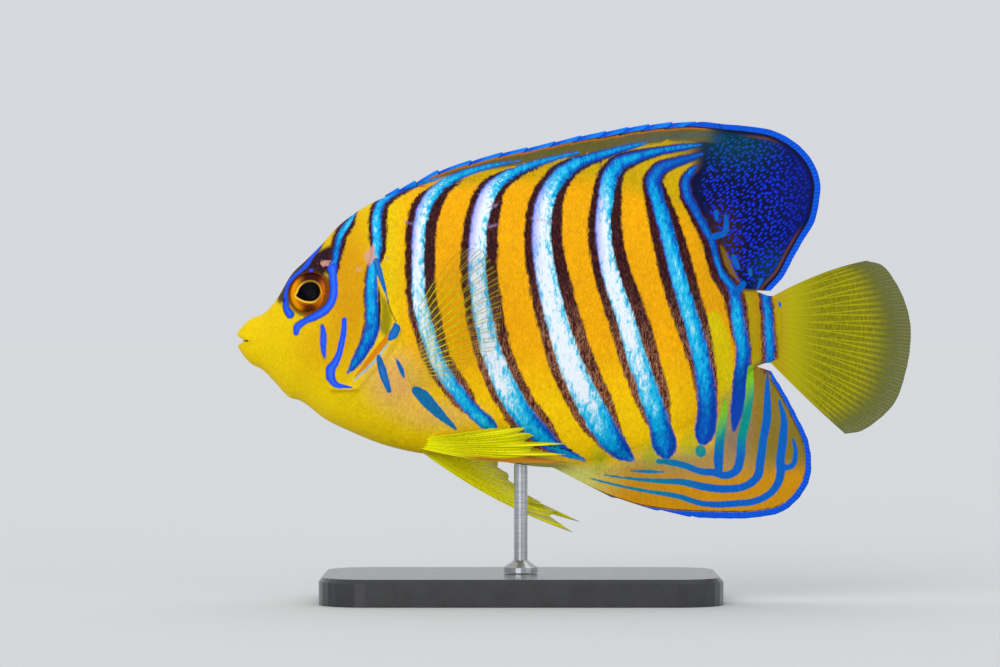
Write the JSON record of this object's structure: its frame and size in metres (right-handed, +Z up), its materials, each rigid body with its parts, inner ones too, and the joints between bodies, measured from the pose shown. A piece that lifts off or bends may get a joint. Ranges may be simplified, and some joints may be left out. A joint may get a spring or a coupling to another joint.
{
  "type": "angelfish model",
  "caption": "Life-size still model of a deep-bodied banded reef angelfish with ribbed fins, carried by one short rod on a flat rectangular display base.",
  "frame": {"origin": "on the underside of the base, below the middle of the fish's length, in the middle plane", "axes": "-X towards the snout, +X towards the tail fin, -Y the fish's left side, +Z up"},
  "size_m": [0.2001, 0.066, 0.1418],
  "materials": {
    "face_skin": "satin",
    "body_skin": "satin",
    "dark_fin": "satin",
    "yellow_fin": "satin",
    "eye": "gloss",
    "stand_black": "gloss",
    "stand_steel": "brushed"
  },
  "bodies": {
    "root": {"head": "face_skin", "trunk": "body_skin", "tail_stalk": "body_skin", "dorsal_fin_spiny": "body_skin", "dorsal_fin_soft": "dark_fin", "anal_fin": "body_skin", "tail_fin": "yellow_fin", "pectoral_fin_left": "yellow_fin", "pectoral_fin_right": "yellow_fin", "pelvic_fin_left": "yellow_fin", "pelvic_fin_right": "yellow_fin", "eye_left": "eye", "eye_right": "eye", "stand_base": "stand_black", "stand_rod": "stand_steel"}
  },
  "joints": []
}
